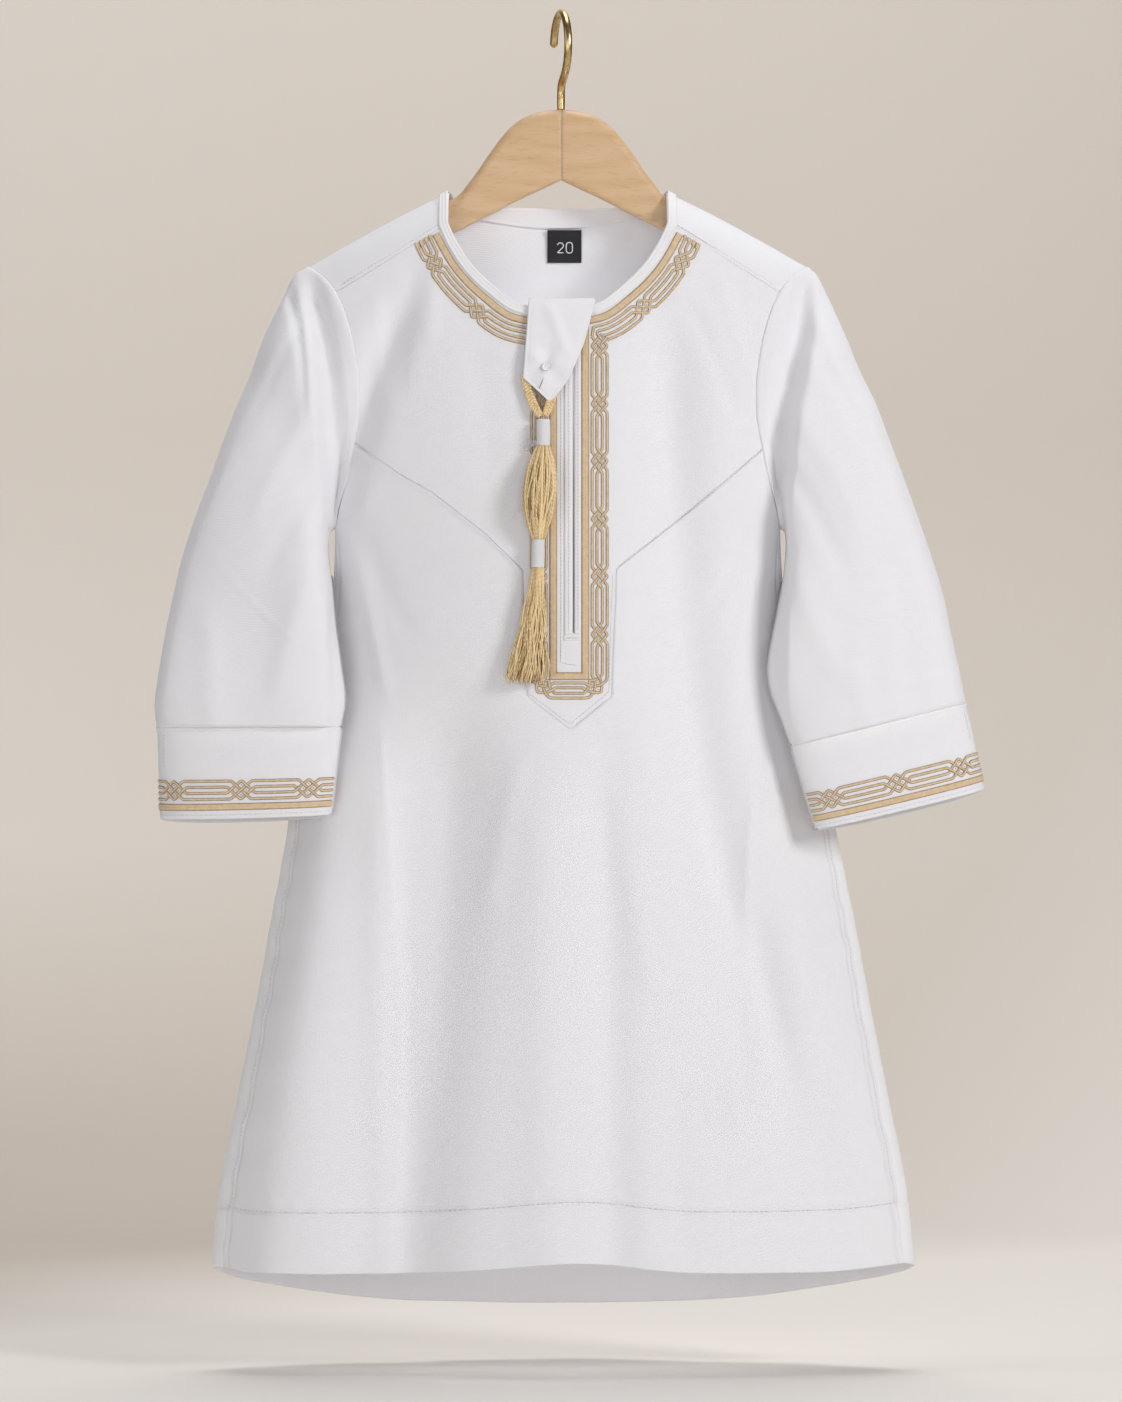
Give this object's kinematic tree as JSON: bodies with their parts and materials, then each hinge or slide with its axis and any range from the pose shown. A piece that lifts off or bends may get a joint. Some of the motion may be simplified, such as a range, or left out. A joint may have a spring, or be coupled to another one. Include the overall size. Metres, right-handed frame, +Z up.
{
  "type": "thobe robe on a wooden hanger",
  "caption": "Child's white thobe with an embroidered neck, placket and cuffs and a tassel, hanging open at neck, cuffs and hem on a wooden hanger with a wire hook.",
  "frame": {"origin": "inside top of the hanger's hook, where it rests on a rail", "axes": "+Z up, the robe's front faces -Y, the wearer's left is +X"},
  "size_m": [0.3942, 0.1183, 0.6214],
  "materials": {
    "cloth": "matt twill",
    "embroidery": "satin thread",
    "tassel": "twisted yarn",
    "label": "woven tape",
    "button": "pearly",
    "wood": "pale satin beech",
    "hook": "brushed brass",
    "thread": "wound cotton thread"
  },
  "bodies": {
    "root": {"back": "cloth", "back_neck_facing": "cloth", "braid_cuff_left": "embroidery", "braid_cuff_right": "embroidery", "braid_neck_left": "embroidery", "braid_neck_right": "embroidery", "braid_placket": "embroidery", "collar_tab": "cloth", "cuff_left": "cloth", "cuff_right": "cloth", "front_lower": "cloth", "front_upper": "cloth", "hanger_arm_left": "wood", "hanger_arm_right": "wood", "hanger_hook": "hook", "neck_binding": "cloth", "pearl_button": "button", "placket_welt": "cloth", "size_label": "label", "sleeve_left": "cloth", "sleeve_right": "cloth", "tassel_bulb": "tassel", "tassel_fringe": "tassel", "tassel_loop": "tassel", "tassel_wrap_lower": "thread", "tassel_wrap_upper": "thread", "yoke": "cloth"}
  },
  "joints": []
}
